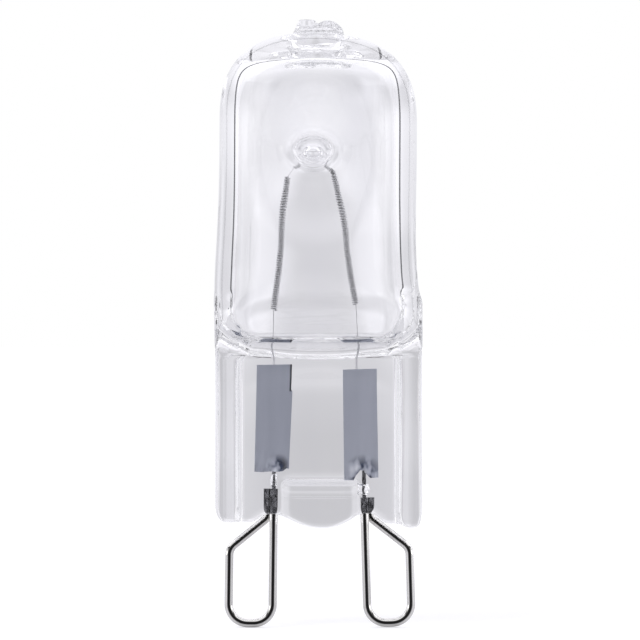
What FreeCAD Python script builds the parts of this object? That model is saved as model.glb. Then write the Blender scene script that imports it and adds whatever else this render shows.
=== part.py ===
import FreeCAD, Part
import math
import os

from FreeCAD import Vector

# Two-pin halogen capsule lamp, in millimetres, standing with its pins down.
# A blown quartz envelope is pressed flat at its foot around two molybdenum foils.
# Each foil joins a looped contact pin below to a fine lead above, and the leads
# carry a coiled filament that two opposed dimples in the glass steady at the top.
# X runs across the flat foot, Y from front to back, and z = 0 is the foot's lower end.

# Foils sealed in the pressed foot
FOIL_WIDTH = 2.4
FOIL_LENGTH = 7.3
FOIL_THICKNESS = 0.04
FOIL_SPACING = 6.0
FOIL_SEAT = 3.2
LEFT_FOIL_TILT = 1.5
RIGHT_FOIL_TILT = -1.0
RIGHT_FOIL_DROP = 0.3
TORN_DEPTH = 0.5
WELD_OVERLAP = 1.2

# Pressed foot: a thin web between two thick side rails
GLASS_BESIDE_FOIL = 1.2
GLASS_OVER_FOIL = 1.0
RAIL_WIDTH = 1.6
RAIL_DEPTH = 5.3
RAIL_CORNER = 0.7
RAIL_END_CORNER = 0.7
RIGHT_RAIL_DROP = 0.35
RAIL_RUN_OUT = 3.4
RAIL_CREST_DEPTH = 2.2
WEB_DEPTH = 3.0
WEB_LOWER_DEPTH = 3.5
WEB_STEP = 2.6
PANEL_DRAFT = 0.35
TONGUE_DROP = 0.45
NOTCH_RISE = 0.55
NOTCH_CLEARANCE = 0.15
NOTCH_SLOPE = 0.6
NOTCH_SLOPE_BULGE = 0.12

# Bulb: turned outline, pressed flat from front and back towards the foot
BULB_DIAMETER = 13.5
BULB_OFFSET = -0.05
WALL = 1.3
SHOULDER_FLARE = 0.4
SHOULDER_HEIGHT = 3.7
SHOULDER_TUCK = 0.3
FLARE_HEIGHT = 6.0
PRESS_HEIGHT = 6.8
JAW_AXIS = 7.4
TUBE_LENGTH = 7.3
DOME_CORNER = 4.3
CROWN_RADIUS = 12.2
ROOT_DROP = 0.3
ROOT_DEPTH = 2.6
FLOOR_GLASS = 1.0
FLOOR_DEPTH = 1.0
FLOOR_CORNER = 1.5
CEILING_CORNER = 2.6
CEILING_RADIUS = 12.0

# Sealed exhaust tip on the crown
TIP_DIAMETER = 3.25
TIP_COLLAR = 0.4
TIP_BEAD_DIAMETER = 2.2
TIP_BEAD_OFFSET = 0.65
TIP_STUMP_DIAMETER = 1.5
TIP_STUMP_OFFSET = -0.7
TIP_STUMP_EDGE = 0.2
TIP_RISE = 1.05
PUMP_HOLE = 2.1
PUMP_HOLE_END = 1.8
PUMP_HOLE_REACH = 1.3

# Opposed dimples that steady the filament, each in a shallow saucer
DIMPLE_DROP = 3.4
DIMPLE_OFFSET = -0.35
DIMPLE_MOUTH = 4.2
DIMPLE_NOSE = 2.6
DIMPLE_NOSE_EDGE = 0.5
DIMPLE_WALL = 0.5
SAUCER_RADIUS = 6.0
SAUCER_DEPTH = 1.6
BRIDGE_CLEARANCE = 0.02

# Contact pins: one wire each, looped below the glass
PIN_WIRE = 0.57
PIN_LEG_SPACING = 6.14
PIN_LOOP_WIDTH = 3.0
PIN_LOOP_DROP = 7.3
PIN_LOOP_CORNER = 1.3
PIN_SHOULDER_DROP = 1.95
PIN_SHOULDER_CORNER = 0.9
PIN_END_BEND = 0.5
PIN_EXIT = 0.2
PIN_END_GAP = 0.03
PIN_END_TURN = 45.0
PIN_TAIL_WIRE = 0.28
LEFT_PIN_SEAT = 2.2
RIGHT_PIN_SEAT = 1.6
LEFT_PIN_LEAN = 0.7
RIGHT_PIN_LEAN = 1.7

# Leads and filament
LEAD_WIRE = 0.14
LEFT_LEAD_OFFSET = -3.05
RIGHT_LEAD_OFFSET = 2.55
LEAD_STAND = 0.35
FILAMENT_WIRE = 0.09
COIL_DIAMETER = 0.41
LEFT_COIL_LIFT = 0.95
LEFT_COIL_REACH = 1.72
LEFT_COIL_DROP = 1.8
RIGHT_COIL_LIFT = 1.75
RIGHT_COIL_REACH = 1.47
RIGHT_COIL_DROP = 0.55
BRIDGE_REACH = 1.3

# Turns below this many degrees are left straight in a bent wire
NEARLY_STRAIGHT = 0.05

LEFT = -1
RIGHT = 1
UP = Vector(0, 0, 1)

# Heights and half widths that follow from the sizes above
FOOT_TOP = FOIL_SEAT + FOIL_LENGTH + GLASS_OVER_FOIL
WEB_HALF_WIDTH = FOIL_SPACING / 2 + FOIL_WIDTH / 2 + GLASS_BESIDE_FOIL
FOOT_HALF_WIDTH = WEB_HALF_WIDTH + RAIL_WIDTH
BULB_RADIUS = BULB_DIAMETER / 2
ROOT_Z = FOOT_TOP - ROOT_DROP
FLOOR_Z = FOOT_TOP + FLOOR_GLASS
SHOULDER_Z = FOOT_TOP + SHOULDER_HEIGHT
FLARE_Z = SHOULDER_Z + FLARE_HEIGHT
ROUND_Z = ROOT_Z + PRESS_HEIGHT
DOME_Z = FLARE_Z + TUBE_LENGTH
DIMPLE_Z = DOME_Z - DIMPLE_DROP
DIMPLE_X = BULB_OFFSET + DIMPLE_OFFSET
FOIL_Y = -(PIN_TAIL_WIRE + FOIL_THICKNESS) / 2
LEAD_Y = FOIL_Y + (FOIL_THICKNESS + LEAD_WIRE) / 2
LEAD_TOP = FLOOR_Z + LEAD_STAND
PIN_LEG = PIN_LEG_SPACING / 2
PIN_END_REACH = (PIN_WIRE + PIN_END_GAP) * math.cos(math.radians(PIN_END_TURN))
PIN_END_BACK = (PIN_WIRE + PIN_END_GAP) * math.sin(math.radians(PIN_END_TURN))


def rounded_outline(half_width, half_depth, corner, z):
    """Flat wire of a rectangle with rounded corners at height z."""
    box = Part.makePlane(2 * half_width, 2 * half_depth, Vector(-half_width, -half_depth, z))
    solid = box.extrude(UP)
    upright = [e for e in solid.Edges if abs(e.tangentAt(e.FirstParameter).z) > 0.5]
    rounded = solid.makeFillet(corner, upright)
    lowest = min(rounded.Faces, key=lambda face: face.CenterOfMass.z)
    return lowest.OuterWire


def bent_path(points, corners):
    """Straight runs through the points, with a tangent arc of the given radius at each corner."""
    edges = []
    start = points[0]
    for i, radius in enumerate(corners, start=1):
        back = (points[i - 1] - points[i]).normalize()
        ahead = (points[i + 1] - points[i]).normalize()
        half_turn = (math.pi - back.getAngle(ahead)) / 2
        if half_turn < math.radians(NEARLY_STRAIGHT):
            continue
        reach = radius * math.tan(half_turn)
        inward = (back + ahead).normalize()
        middle = points[i] + inward * (radius / math.cos(half_turn) - radius)
        arc_start = points[i] + back * reach
        arc_end = points[i] + ahead * reach
        edges.append(Part.makeLine(start, arc_start))
        edges.append(Part.Arc(arc_start, middle, arc_end).toShape())
        start = arc_end
    edges.append(Part.makeLine(start, points[-1]))
    return Part.Wire(edges)


def round_wire(points, corners, diameter):
    """Solid round wire along a bent path."""
    path = bent_path(points, corners)
    ring = Part.Wire(Part.makeCircle(diameter / 2, points[0], points[1] - points[0]))
    return path.makePipe(Part.Face(ring))


def straight_wire(start, end, diameter):
    """Solid round wire along one straight run."""
    run = end - start
    return Part.makeCylinder(diameter / 2, run.Length, start, run)


# Envelope


def crown_height(radius, corner, crown_radius):
    """Height of a dome whose corner arc and crown arc meet without a crease."""
    drop = math.sqrt((crown_radius - corner) ** 2 - (radius - corner) ** 2)
    return crown_radius - drop


def dome_edges(radius, corner, crown_radius):
    """Corner arc and crown arc of a dome, from the tube's top to the axis."""
    crown_z = DOME_Z + crown_height(radius, corner, crown_radius)
    corner_centre = Vector(radius - corner, 0, DOME_Z)
    crown_centre = Vector(0, 0, crown_z - crown_radius)
    slope = (corner_centre - crown_centre).normalize()
    lean = math.acos(slope.x)
    join = crown_centre + slope * crown_radius
    corner_mid = corner_centre + Vector(math.cos(lean / 2), 0, math.sin(lean / 2)) * corner
    crown_lean = (lean + math.pi / 2) / 2
    crown_mid = crown_centre + Vector(math.cos(crown_lean), 0, math.sin(crown_lean)) * crown_radius
    rim = Vector(radius, 0, DOME_Z)
    crown = Vector(0, 0, crown_z)
    return [Part.Arc(rim, corner_mid, join).toShape(), Part.Arc(join, crown_mid, crown).toShape()]


def turned_bulb(wall_points, foot_edges, corner, crown_radius):
    """Solid turned from a foot, straight wall runs and a dome."""
    radius = wall_points[-1].x
    edges = list(foot_edges)
    for low, high in zip(wall_points, wall_points[1:]):
        edges.append(Part.makeLine(low, high))
    edges += dome_edges(radius, corner, crown_radius)
    axis_low = foot_edges[0].Vertexes[0].Point
    edges.append(Part.makeLine(edges[-1].Vertexes[-1].Point, axis_low))
    solid = Part.Face(Part.Wire(edges)).revolve(axis_low, UP, 360)
    solid.translate(Vector(BULB_OFFSET, 0, 0))
    return solid


def press_room(low, low_half_depth, half_depth):
    """Room between two hollow jaws that press a tube shut towards its low end, and run on straight below."""
    narrowing = half_depth - low_half_depth
    height = ROUND_Z - low
    radius = (narrowing**2 + height**2) / (2 * narrowing)
    half_turn = math.atan2(height, radius - narrowing) / 2
    mid_y = half_depth - radius + radius * math.cos(half_turn)
    mid_z = ROUND_Z - radius * math.sin(half_turn)
    top = DOME_Z + BULB_DIAMETER
    halves = []
    for side in (-1, 1):
        axis_low = Vector(BULB_OFFSET, -side * JAW_AXIS, low - WALL)
        axis_top = Vector(BULB_OFFSET, -side * JAW_AXIS, top)
        foot_low = Vector(BULB_OFFSET, side * low_half_depth, low - WALL)
        foot = Vector(BULB_OFFSET, side * low_half_depth, low)
        middle = Vector(BULB_OFFSET, side * mid_y, mid_z)
        bend = Vector(BULB_OFFSET, side * half_depth, ROUND_Z)
        crest = Vector(BULB_OFFSET, side * half_depth, top)
        edges = [
            Part.makeLine(axis_low, foot_low),
            Part.makeLine(foot_low, foot),
            Part.Arc(foot, middle, bend).toShape(),
            Part.makeLine(bend, crest),
            Part.makeLine(crest, axis_top),
            Part.makeLine(axis_top, axis_low),
        ]
        halves.append(Part.Face(Part.Wire(edges)).revolve(axis_low, UP, 360))
    return halves[0].common(halves[1])


def bulb_outside():
    """Outer bulb: flared shoulder, tube and dome, pressed flat where it meets the foot."""
    shoulder = BULB_RADIUS + SHOULDER_FLARE
    wall = [
        Vector(shoulder - SHOULDER_TUCK, 0, ROOT_Z),
        Vector(shoulder, 0, SHOULDER_Z),
        Vector(BULB_RADIUS, 0, FLARE_Z),
        Vector(BULB_RADIUS, 0, DOME_Z),
    ]
    foot = [Part.makeLine(Vector(0, 0, ROOT_Z), wall[0])]
    bulb = turned_bulb(wall, foot, DOME_CORNER, CROWN_RADIUS)
    return bulb.common(press_room(ROOT_Z, ROOT_DEPTH / 2, shoulder))


def bulb_cavity():
    """Gas space: follows the outside one wall in, with a rounded trough for a floor."""
    shoulder = BULB_RADIUS + SHOULDER_FLARE - WALL
    radius = BULB_RADIUS - WALL
    turn = FLOOR_CORNER * (1 - math.sqrt(0.5))
    wall = [
        Vector(shoulder, 0, FLOOR_Z + FLOOR_CORNER),
        Vector(shoulder, 0, SHOULDER_Z),
        Vector(radius, 0, FLARE_Z),
        Vector(radius, 0, DOME_Z),
    ]
    floor_end = Vector(shoulder - FLOOR_CORNER, 0, FLOOR_Z)
    corner_mid = Vector(shoulder - turn, 0, FLOOR_Z + turn)
    foot = [
        Part.makeLine(Vector(0, 0, FLOOR_Z), floor_end),
        Part.Arc(floor_end, corner_mid, wall[0]).toShape(),
    ]
    room = turned_bulb(wall, foot, CEILING_CORNER, CEILING_RADIUS)
    return room.common(press_room(FLOOR_Z, FLOOR_DEPTH / 2, shoulder))


def dimple_cone(mouth_diameter, nose_diameter, nose_gap, side):
    """Cone pressed in from one side of the bulb, ending nose_gap short of the middle plane."""
    base = Vector(DIMPLE_X, side * nose_gap, DIMPLE_Z)
    outward = Vector(0, side, 0)
    return Part.makeCone(nose_diameter / 2, mouth_diameter / 2, BULB_RADIUS - nose_gap, base, outward)


def dimple_saucer(radius, side):
    """Ball that sinks the bulb's wall in a shallow saucer round a dimple."""
    reach = BULB_RADIUS - SAUCER_DEPTH + SAUCER_RADIUS
    return Part.makeSphere(radius, Vector(DIMPLE_X, side * reach, DIMPLE_Z))


def dimple_boss(side):
    """Blunt boss that a dimple raises inside the bulb, just clear of the filament's bridge."""
    gap = FILAMENT_WIRE / 2 + BRIDGE_CLEARANCE
    boss = dimple_cone(DIMPLE_MOUTH, DIMPLE_NOSE, gap, side)
    rim = min(boss.Edges, key=lambda edge: abs(edge.CenterOfMass.y))
    return boss.makeChamfer(DIMPLE_NOSE_EDGE, [rim]).fuse(dimple_saucer(SAUCER_RADIUS + WALL, side))


def dimple_pit(side):
    """Pit of the dimple on the outside, one dimple wall away from its boss."""
    gap = FILAMENT_WIRE / 2 + BRIDGE_CLEARANCE + DIMPLE_WALL
    mouth = DIMPLE_MOUTH - 2 * DIMPLE_WALL
    nose = DIMPLE_NOSE - 2 * DIMPLE_WALL
    return dimple_cone(mouth, nose, gap, side).fuse(dimple_saucer(SAUCER_RADIUS, side))


def exhaust_tip():
    """Melted stub on the crown: a collar, a round bead and the flat stump of the pump tube."""
    crown = DOME_Z + crown_height(BULB_RADIUS, DOME_CORNER, CROWN_RADIUS)
    base = crown - WALL
    top = crown + TIP_RISE
    middle = Vector(BULB_OFFSET, 0, 0)
    collar = Part.makeCylinder(TIP_DIAMETER / 2, WALL, middle + UP * base)
    slope = Part.makeCone(TIP_DIAMETER / 2, TIP_BEAD_DIAMETER / 2, TIP_COLLAR, middle + UP * crown)
    bead_radius = TIP_BEAD_DIAMETER / 2
    bead = Part.makeSphere(bead_radius, middle + Vector(TIP_BEAD_OFFSET, 0, top - bead_radius))
    stump_foot = middle + Vector(TIP_STUMP_OFFSET, 0, base)
    stump = Part.makeCylinder(TIP_STUMP_DIAMETER / 2, top - base, stump_foot)
    rim = max(stump.Edges, key=lambda edge: edge.CenterOfMass.z)
    return collar.multiFuse([slope, bead, stump.makeChamfer(TIP_STUMP_EDGE, [rim])])


def pump_hole():
    """Tapered rest of the pump tube's bore, open to the gas space and closed inside the tip."""
    ceiling = DOME_Z + crown_height(BULB_RADIUS - WALL, CEILING_CORNER, CEILING_RADIUS)
    low = Vector(BULB_OFFSET, 0, ceiling - WALL)
    return Part.makeCone(PUMP_HOLE / 2, PUMP_HOLE_END / 2, WALL + PUMP_HOLE_REACH, low)


def foot_end_outline():
    """Front outline of the foot: rounded rails, a notch at each pin and a tongue between them."""
    top = FOOT_TOP + RAIL_RUN_OUT
    notch_in = PIN_LEG - PIN_WIRE / 2 - NOTCH_CLEARANCE
    notch_out = PIN_LEG + PIN_END_REACH + PIN_WIRE / 2 + NOTCH_CLEARANCE
    ends = {LEFT: 0.0, RIGHT: -RIGHT_RAIL_DROP}
    edges = []
    for side in (LEFT, RIGHT):
        end = ends[side]
        half_slope = (end + NOTCH_RISE) / 2
        turn = RAIL_END_CORNER * (1 - math.sqrt(0.5))
        outline = [
            Vector(side * notch_in, 0, NOTCH_RISE),
            Vector(side * notch_out, 0, NOTCH_RISE),
            Vector(side * (notch_out + NOTCH_SLOPE), 0, end),
            Vector(side * (FOOT_HALF_WIDTH - RAIL_END_CORNER), 0, end),
            Vector(side * FOOT_HALF_WIDTH, 0, end + RAIL_END_CORNER),
            Vector(side * FOOT_HALF_WIDTH, 0, top),
        ]
        slope_mid = Vector(side * (notch_out + NOTCH_SLOPE / 2 + NOTCH_SLOPE_BULGE), 0, half_slope)
        corner_mid = Vector(side * (FOOT_HALF_WIDTH - turn), 0, end + turn)
        edges.append(Part.makeLine(outline[0], outline[1]))
        edges.append(Part.Arc(outline[1], slope_mid, outline[2]).toShape())
        edges.append(Part.makeLine(outline[2], outline[3]))
        edges.append(Part.Arc(outline[3], corner_mid, outline[4]).toShape())
        edges.append(Part.makeLine(outline[4], outline[5]))
    tongue_left = Vector(-notch_in, 0, NOTCH_RISE)
    tongue_right = Vector(notch_in, 0, NOTCH_RISE)
    edges.append(Part.Arc(tongue_left, Vector(0, 0, -TONGUE_DROP), tongue_right).toShape())
    edges.append(Part.makeLine(Vector(-FOOT_HALF_WIDTH, 0, top), Vector(FOOT_HALF_WIDTH, 0, top)))
    return Part.Face(Part.Wire(Part.__sortEdges__(edges)))


def pressed_foot():
    """Flat foot: a rounded slab that thins out into the shoulder, trimmed to its end outline."""
    half_depth = RAIL_DEPTH / 2
    below = -(RIGHT_RAIL_DROP + TONGUE_DROP)
    lower = rounded_outline(FOOT_HALF_WIDTH, half_depth, RAIL_CORNER, below)
    slab = Part.Face(lower).extrude(Vector(0, 0, FOOT_TOP - below))
    crest_half_depth = RAIL_CREST_DEPTH / 2
    foot_line = rounded_outline(FOOT_HALF_WIDTH, half_depth, RAIL_CORNER, FOOT_TOP)
    crest_line = rounded_outline(FOOT_HALF_WIDTH, crest_half_depth, RAIL_CORNER, FOOT_TOP + RAIL_RUN_OUT)
    run_out = Part.makeLoft([foot_line, crest_line], True, True)
    trim = foot_end_outline()
    trim.translate(Vector(0, -RAIL_DEPTH, 0))
    return slab.fuse(run_out).common(trim.extrude(Vector(0, 2 * RAIL_DEPTH, 0)))


def panel_cut(side, half_web, low, high):
    """Drafted recess that leaves the web half_web thick on one side of the middle plane."""
    rise = RAIL_DEPTH / 2 - half_web
    floor = Part.makePolygon([
        Vector(-WEB_HALF_WIDTH, side * half_web, low),
        Vector(WEB_HALF_WIDTH, side * half_web, low),
        Vector(WEB_HALF_WIDTH, side * half_web, high),
        Vector(-WEB_HALF_WIDTH, side * half_web, high),
        Vector(-WEB_HALF_WIDTH, side * half_web, low),
    ])
    wide = WEB_HALF_WIDTH + PANEL_DRAFT
    face_y = side * (half_web + rise)
    mouth = Part.makePolygon([
        Vector(-wide, face_y, low - PANEL_DRAFT),
        Vector(wide, face_y, low - PANEL_DRAFT),
        Vector(wide, face_y, high + PANEL_DRAFT),
        Vector(-wide, face_y, high + PANEL_DRAFT),
        Vector(-wide, face_y, low - PANEL_DRAFT),
    ])
    return Part.makeLoft([floor, mouth], True, True)


def foot_panels():
    """Front and back recesses of the foot, deep over the foils and shallower at the lower end."""
    below = -(RIGHT_RAIL_DROP + TONGUE_DROP + RAIL_DEPTH)
    cuts = []
    for side in (-1, 1):
        cuts.append(panel_cut(side, WEB_DEPTH / 2, WEB_STEP, FOOT_TOP))
        cuts.append(panel_cut(side, WEB_LOWER_DEPTH / 2, below, FOOT_TOP))
    return cuts


def quartz_envelope(sealed):
    """The whole glass, with the sealed metal pieces cut out of it."""
    sides = (-1, 1)
    foot = pressed_foot().cut(foot_panels())
    body = bulb_outside().multiFuse([foot, exhaust_tip()])
    hollow = bulb_cavity().fuse(pump_hole()).cut([dimple_boss(side) for side in sides])
    pits = [dimple_pit(side) for side in sides]
    return body.cut([hollow] + pits + sealed).removeSplitter()


# Foils, pins and leads


def foil(side, tilt, drop):
    """Thin strip with a straight top and a torn lower end."""
    half = FOIL_WIDTH / 2
    torn = TORN_DEPTH
    outline = [
        Vector(-half, 0, FOIL_LENGTH),
        Vector(half, 0, FOIL_LENGTH),
        Vector(half, 0, torn / 2),
        Vector(half / 2, 0, 0),
        Vector(0, 0, torn),
        Vector(-half / 2, 0, torn / 2),
        Vector(-half, 0, 0),
    ]
    face = Part.Face(Part.makePolygon(outline + outline[:1]))
    strip = face.extrude(Vector(0, FOIL_THICKNESS, 0))
    strip.rotate(Vector(0, 0, FOIL_LENGTH / 2), Vector(0, 1, 0), tilt)
    strip.translate(Vector(side * FOIL_SPACING / 2, FOIL_Y - FOIL_THICKNESS / 2, FOIL_SEAT - drop))
    return strip


def pin_loop(side, seat, lean, foil_drop):
    """One bent wire: a fine tail on the foil, a straight leg, the loop, and an end back in the glass."""
    leg = side * PIN_LEG
    outer = leg + side * PIN_LOOP_WIDTH
    bottom = PIN_WIRE / 2 - PIN_LOOP_DROP
    top = Vector(leg, 0, seat)
    leaning = [
        Vector(leg, 0, bottom),
        Vector(outer, 0, bottom),
        Vector(outer, 0, -PIN_SHOULDER_DROP),
    ]
    swing = FreeCAD.Rotation(Vector(0, 1, 0), -side * lean)
    loop = [top + swing.multVec(point - top) for point in leaning]
    end_x = leg + side * PIN_END_REACH
    end_low = Vector(end_x, PIN_END_BACK, PIN_EXIT)
    end_top = Vector(end_x, PIN_END_BACK, seat)
    corners = [PIN_LOOP_CORNER, PIN_LOOP_CORNER, PIN_SHOULDER_CORNER, PIN_END_BEND]
    wire = round_wire([top] + loop + [end_low, end_top], corners, PIN_WIRE)
    tail_top = Vector(leg, 0, FOIL_SEAT - foil_drop + WELD_OVERLAP)
    tail = straight_wire(top - UP * PIN_TAIL_WIRE, tail_top, PIN_TAIL_WIRE)
    return wire.fuse(tail).removeSplitter()


def inner_lead(offset, foil_drop):
    """Straight lead from its weld on the foil up into the gas space."""
    low = FOIL_SEAT - foil_drop + FOIL_LENGTH - WELD_OVERLAP
    return straight_wire(Vector(offset, LEAD_Y, low), Vector(offset, LEAD_Y, LEAD_TOP), LEAD_WIRE)


def filament():
    """One wire: up a coiled leg from the left lead, across the dimples and down to the right lead."""
    left_foot = Vector(LEFT_LEAD_OFFSET, LEAD_Y, LEAD_TOP)
    right_foot = Vector(RIGHT_LEAD_OFFSET, LEAD_Y, LEAD_TOP)
    left_low = left_foot + UP * LEFT_COIL_LIFT
    right_low = right_foot + UP * RIGHT_COIL_LIFT
    left_top = Vector(DIMPLE_X - LEFT_COIL_REACH, 0, DIMPLE_Z - LEFT_COIL_DROP)
    right_top = Vector(DIMPLE_X + RIGHT_COIL_REACH, 0, DIMPLE_Z - RIGHT_COIL_DROP)
    left_bend = Vector(DIMPLE_X - BRIDGE_REACH, 0, DIMPLE_Z)
    right_bend = Vector(DIMPLE_X + BRIDGE_REACH, 0, DIMPLE_Z)
    lap = UP * (COIL_DIAMETER / 2)
    plain_runs = [
        (left_foot, left_low + lap),
        (left_top - lap, left_bend),
        (left_bend, right_bend),
        (right_bend, right_top - lap),
        (right_low + lap, right_foot),
    ]
    runs = [straight_wire(start, end, FILAMENT_WIRE) for start, end in plain_runs]
    runs.append(straight_wire(left_low, left_top, COIL_DIAMETER))
    runs.append(straight_wire(right_low, right_top, COIL_DIAMETER))
    return runs[0].multiFuse(runs[1:]).removeSplitter()


metal = {
    "left_foil": foil(LEFT, LEFT_FOIL_TILT, 0.0),
    "right_foil": foil(RIGHT, RIGHT_FOIL_TILT, RIGHT_FOIL_DROP),
    "left_pin_loop": pin_loop(LEFT, LEFT_PIN_SEAT, LEFT_PIN_LEAN, 0.0),
    "right_pin_loop": pin_loop(RIGHT, RIGHT_PIN_SEAT, RIGHT_PIN_LEAN, RIGHT_FOIL_DROP),
    "left_inner_lead": inner_lead(LEFT_LEAD_OFFSET, 0.0),
    "right_inner_lead": inner_lead(RIGHT_LEAD_OFFSET, RIGHT_FOIL_DROP),
}

pieces = dict(metal)
pieces["filament"] = filament()
pieces["quartz_envelope"] = quartz_envelope(list(metal.values()))

os.makedirs("parts", exist_ok=True)
for name, shape in pieces.items():
    shape.exportStep("parts/" + name + ".step")
    print(name, "volume", round(shape.Volume, 4), "mm3, solids", len(shape.Solids), "valid", shape.isValid())
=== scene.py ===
# %% [markdown]
# # Halogen capsule bulb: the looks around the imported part
#
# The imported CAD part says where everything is. This lesson gives it the looks of the real lamp:
# melted quartz with soft edges, a wound tungsten coil, crumpled foils and drawn wire.
# All lengths below are written in millimetres and turned to metres when a mesh or a node needs them.

import math

import bpy
import numpy as np
import openvdb
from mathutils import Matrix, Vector


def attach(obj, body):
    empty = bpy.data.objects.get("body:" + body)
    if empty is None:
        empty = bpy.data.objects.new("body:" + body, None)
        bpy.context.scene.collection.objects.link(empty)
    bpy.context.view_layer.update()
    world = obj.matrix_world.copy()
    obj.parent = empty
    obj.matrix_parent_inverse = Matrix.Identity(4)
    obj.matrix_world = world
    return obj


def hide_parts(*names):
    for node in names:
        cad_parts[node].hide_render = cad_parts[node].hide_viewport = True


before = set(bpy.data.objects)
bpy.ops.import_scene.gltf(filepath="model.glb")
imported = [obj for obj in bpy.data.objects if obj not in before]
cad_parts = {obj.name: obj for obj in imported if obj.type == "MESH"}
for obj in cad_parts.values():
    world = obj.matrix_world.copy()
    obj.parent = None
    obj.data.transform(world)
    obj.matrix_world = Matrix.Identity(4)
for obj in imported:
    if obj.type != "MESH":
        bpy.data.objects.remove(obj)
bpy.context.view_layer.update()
MM = 0.001
print("CAD nodes:", sorted(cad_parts))


# %% [markdown]
# ## How the glass is described
#
# The envelope is blown and pressed hot, so no edge on it is sharp: each form runs into the next with
# a melted fillet. Bevels on a mesh would fail where three forms meet, and sculpting can't be measured.
# A distance field does both: every form is a formula that is negative inside the glass, two forms are
# joined with a blend length, and the surface is where the result is zero.

# %% Joining rules for the field
def join(a, b, blend):
    """Both forms together, with a soft fillet where they meet."""
    overlap = np.maximum(blend - np.abs(a - b), 0.0) / blend
    return np.minimum(a, b) - overlap**3 * blend / 6


def shared(a, b, blend):
    """Only what lies in both forms, with a softened edge."""
    return -join(-a, -b, blend)


def cut_away(a, b, blend):
    """The first form with the second taken out of it."""
    return shared(a, -b, blend)


def curve_through(at, stations, values):
    """Smooth curve through values given at rising stations."""
    stations = np.asarray(stations, dtype=float)
    values = np.asarray(values, dtype=float)
    slope = np.gradient(values, stations)
    at = np.clip(at, stations[0], stations[-1])
    i = np.clip(np.searchsorted(stations, at, side="right") - 1, 0, len(stations) - 2)
    step = stations[i + 1] - stations[i]
    u = (at - stations[i]) / step
    rise = values[i] * (1 + 2 * u) * (1 - u) ** 2 + values[i + 1] * u**2 * (3 - 2 * u)
    lean = slope[i] * u * (1 - u) ** 2 + slope[i + 1] * u**2 * (u - 1)
    return rise + lean * step


def in_millimetres(level, x, y, z):
    """Divides a level function by its steepness, so that its values are near distances."""
    nudge = 0.01
    never_zero = 1e-6
    across = (level(x + nudge, y, z) - level(x - nudge, y, z)) / (2 * nudge)
    deep = (level(x, y + nudge, z) - level(x, y - nudge, z)) / (2 * nudge)
    up = (level(x, y, z + nudge) - level(x, y, z - nudge)) / (2 * nudge)
    return level(x, y, z) / np.sqrt(across**2 + deep**2 + up**2 + never_zero)


print("a blend of 1.2 mm adds", round(-join(0.0, 0.0, 1.2), 2), "mm where two faces meet")


# %% [markdown]
# ## Bulb outside
#
# A quartz tube, a little wider and pushed to the left at the shoulder, where two hollow jaws pressed it
# flat from front and back. The crown is squarer than a half ball. Left and right edges are given at
# heights measured on the lamp. Each jaw is a ring surface: an arc seen from the side, turned about an
# upright axis on the far side of the lamp, so the pressed face stays round across its width.

# %% Outside of the bulb
DOME_START = 27.0
DOME_RISE = 6.24
DOME_SQUARENESS = 2.6
DOME_TILT = 0.02
PRESS_START = 18.0
PRESS_RADIUS = 6.886
PRESS_CENTRE = 0.27
PRESS_LEAST = 0.35
JAW_AXIS = 7.4
JAW_MIDDLE = -0.05
JAW_BLEND = 1.2
ROOT = 11.2
ROOT_BLEND = 0.6
OUTER_HEIGHTS = (10.5, 12.5, 14.2, 15.6, 17.5, 19.2, 21.5, 24.0, 27.0)
OUTER_LEFT = (-6.96, -7.01, -7.08, -7.14, -7.09, -6.99, -6.88, -6.81, -6.79)
OUTER_RIGHT = (6.9, 6.93, 6.93, 6.83, 6.67, 6.62, 6.63, 6.67, 6.69)


def tube_level(x, y, z, heights, left_edge, right_edge, above, squareness):
    """Level of a tube between two edges, closed above by a squared dome."""
    left = curve_through(z, heights, left_edge)
    right = curve_through(z, heights, right_edge)
    middle, half = (left + right) / 2, (right - left) / 2
    around = np.hypot(x - middle, y) / half
    return (around**squareness + above**squareness) ** (1 / squareness) - 1


def jaws(x, y, depth):
    """Both jaws: negative between them, zero on their faces at this depth."""
    return np.hypot(x - JAW_MIDDLE, np.abs(y) + JAW_AXIS) - (depth + JAW_AXIS)


def outer_level(x, y, z):
    above = np.maximum(z + DOME_TILT * x - DOME_START, 0.0) / DOME_RISE
    return tube_level(x, y, z, OUTER_HEIGHTS, OUTER_LEFT, OUTER_RIGHT, above, DOME_SQUARENESS)


def outer_jaws(x, y, z):
    below = np.maximum(PRESS_START - z, 0.0)
    arc = np.sqrt(np.maximum(PRESS_RADIUS**2 - below**2, PRESS_LEAST**2))
    return jaws(x, y, PRESS_CENTRE + arc)


def bulb_outside(x, y, z):
    blown = in_millimetres(outer_level, x, y, z)
    pressed = shared(blown, in_millimetres(outer_jaws, x, y, z), JAW_BLEND)
    return shared(pressed, ROOT - z, ROOT_BLEND)


BULB_MIDDLE = (0.0, 0.0, 20.0)
to_outside = -bulb_outside(*BULB_MIDDLE)
print("from the middle of the bulb to its outside:", round(to_outside, 2), "mm")

# %% [markdown]
# ## Gas space
#
# The inside follows the outside one wall in, has a flat ceiling with tight corners, and ends below in a
# trough with a flat floor between the pressed walls. An even offset of the outside would give a round
# ceiling and a sharp trough, so the inside has edges and depths of its own.

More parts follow.
